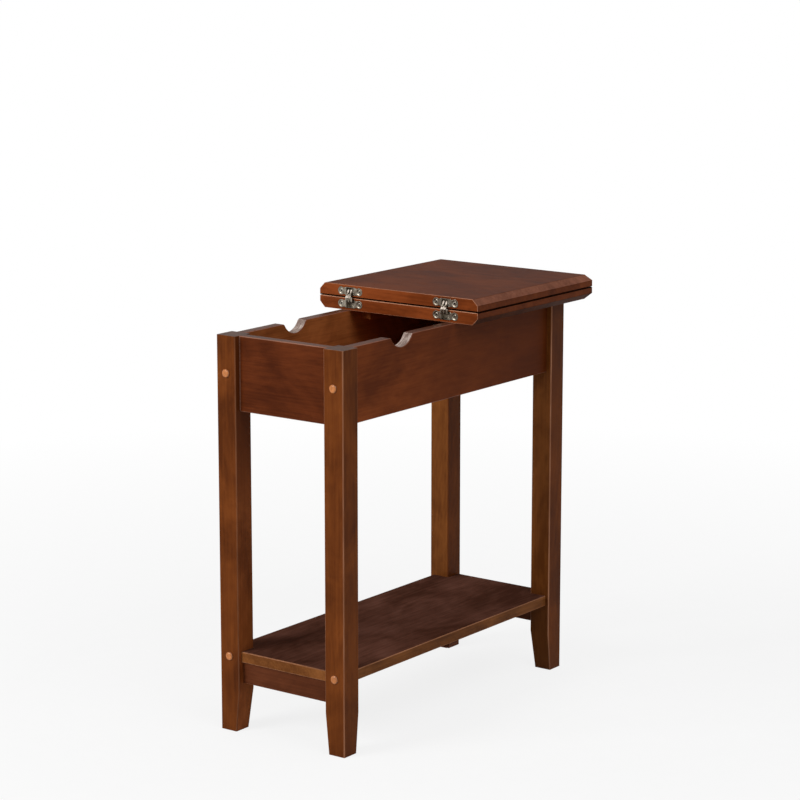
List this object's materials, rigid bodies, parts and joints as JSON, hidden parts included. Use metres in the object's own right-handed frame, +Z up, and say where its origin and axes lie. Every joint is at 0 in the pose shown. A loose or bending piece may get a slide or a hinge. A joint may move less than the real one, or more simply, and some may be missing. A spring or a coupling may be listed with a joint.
{
  "type": "lift top end table",
  "caption": "Narrow wooden side table whose front top leaf folds back on concealed hinges to open a storage box, with finger notches and a low shelf between tapered legs.",
  "frame": {"origin": "on the floor, at the middle of the whole table as it stands with its front leaf folded open", "axes": "+X across the narrow width to the right as seen from the front, +Y from the front to the back, +Z up"},
  "size_m": [0.288, 0.5846, 0.6191],
  "materials": {
    "leg_wood": "stained satin lacquer",
    "apron_wood": "stained satin lacquer",
    "shelf_wood": "stained satin lacquer",
    "top_wood": "stained satin lacquer",
    "inner_wood": "stained satin",
    "dowel_wood": "bare beech",
    "plug_wood": "light stained satin",
    "hinge_nickel": "satin nickel plate",
    "zinc_steel": "bright zinc plate"
  },
  "bodies": {
    "table": {"apron_back": "apron_wood", "apron_barrel_nuts": "zinc_steel", "apron_bolts": "zinc_steel", "apron_dowels": "dowel_wood", "apron_front": "apron_wood", "apron_left": "apron_wood", "apron_right": "apron_wood", "batten_screws": "zinc_steel", "box_floor": "inner_wood", "button_plugs_back": "plug_wood", "button_plugs_front": "plug_wood", "cleat_screws": "zinc_steel", "fixed_leaf": "top_wood", "leaf_cleat_left": "inner_wood", "leaf_cleat_right": "inner_wood", "leaf_screws": "zinc_steel", "leg_back_left": "leg_wood", "leg_back_right": "leg_wood", "leg_front_left": "leg_wood", "leg_front_right": "leg_wood", "lower_hinge_housing_left": "hinge_nickel", "lower_hinge_housing_right": "hinge_nickel", "lower_hinge_screws": "hinge_nickel", "lower_root_pins": "hinge_nickel", "shelf": "shelf_wood", "shelf_barrel_nuts": "zinc_steel", "shelf_batten": "inner_wood", "shelf_bolts": "zinc_steel", "shelf_rail_back": "shelf_wood", "shelf_rail_front": "shelf_wood"},
    "leaf": {"folding_leaf": "top_wood", "upper_hinge_housing_left": "hinge_nickel", "upper_hinge_housing_right": "hinge_nickel", "upper_hinge_screws": "hinge_nickel", "upper_root_pins": "hinge_nickel"},
    "lower_links": {"lower_hinge_links": "hinge_nickel", "hinge_cross_pins": "hinge_nickel"},
    "upper_links": {"upper_hinge_links": "hinge_nickel"}
  },
  "joints": [
    {"name": "leaf_fold", "type": "hinge", "parent": "table", "child": "leaf", "pos_m": [0, -0.01425, 0.6003], "axis": [1, 0, 0], "range_deg": [0, 180]},
    {"name": "lower_links_turn", "type": "hinge", "parent": "table", "child": "lower_links", "pos_m": [0, -0.01155, 0.5947], "axis": [1, 0, 0], "range_deg": [0, 116.6]},
    {"name": "upper_links_turn", "type": "hinge", "parent": "leaf", "child": "upper_links", "pos_m": [0, -0.01155, 0.6059], "axis": [1, 0, 0], "range_deg": [-116.6, 0]}
  ],
  "couplings": [
    {"joint": "lower_links_turn", "follows": "leaf_fold", "ratio": 0.64684},
    {"joint": "upper_links_turn", "follows": "leaf_fold", "ratio": -0.64684}
  ]
}
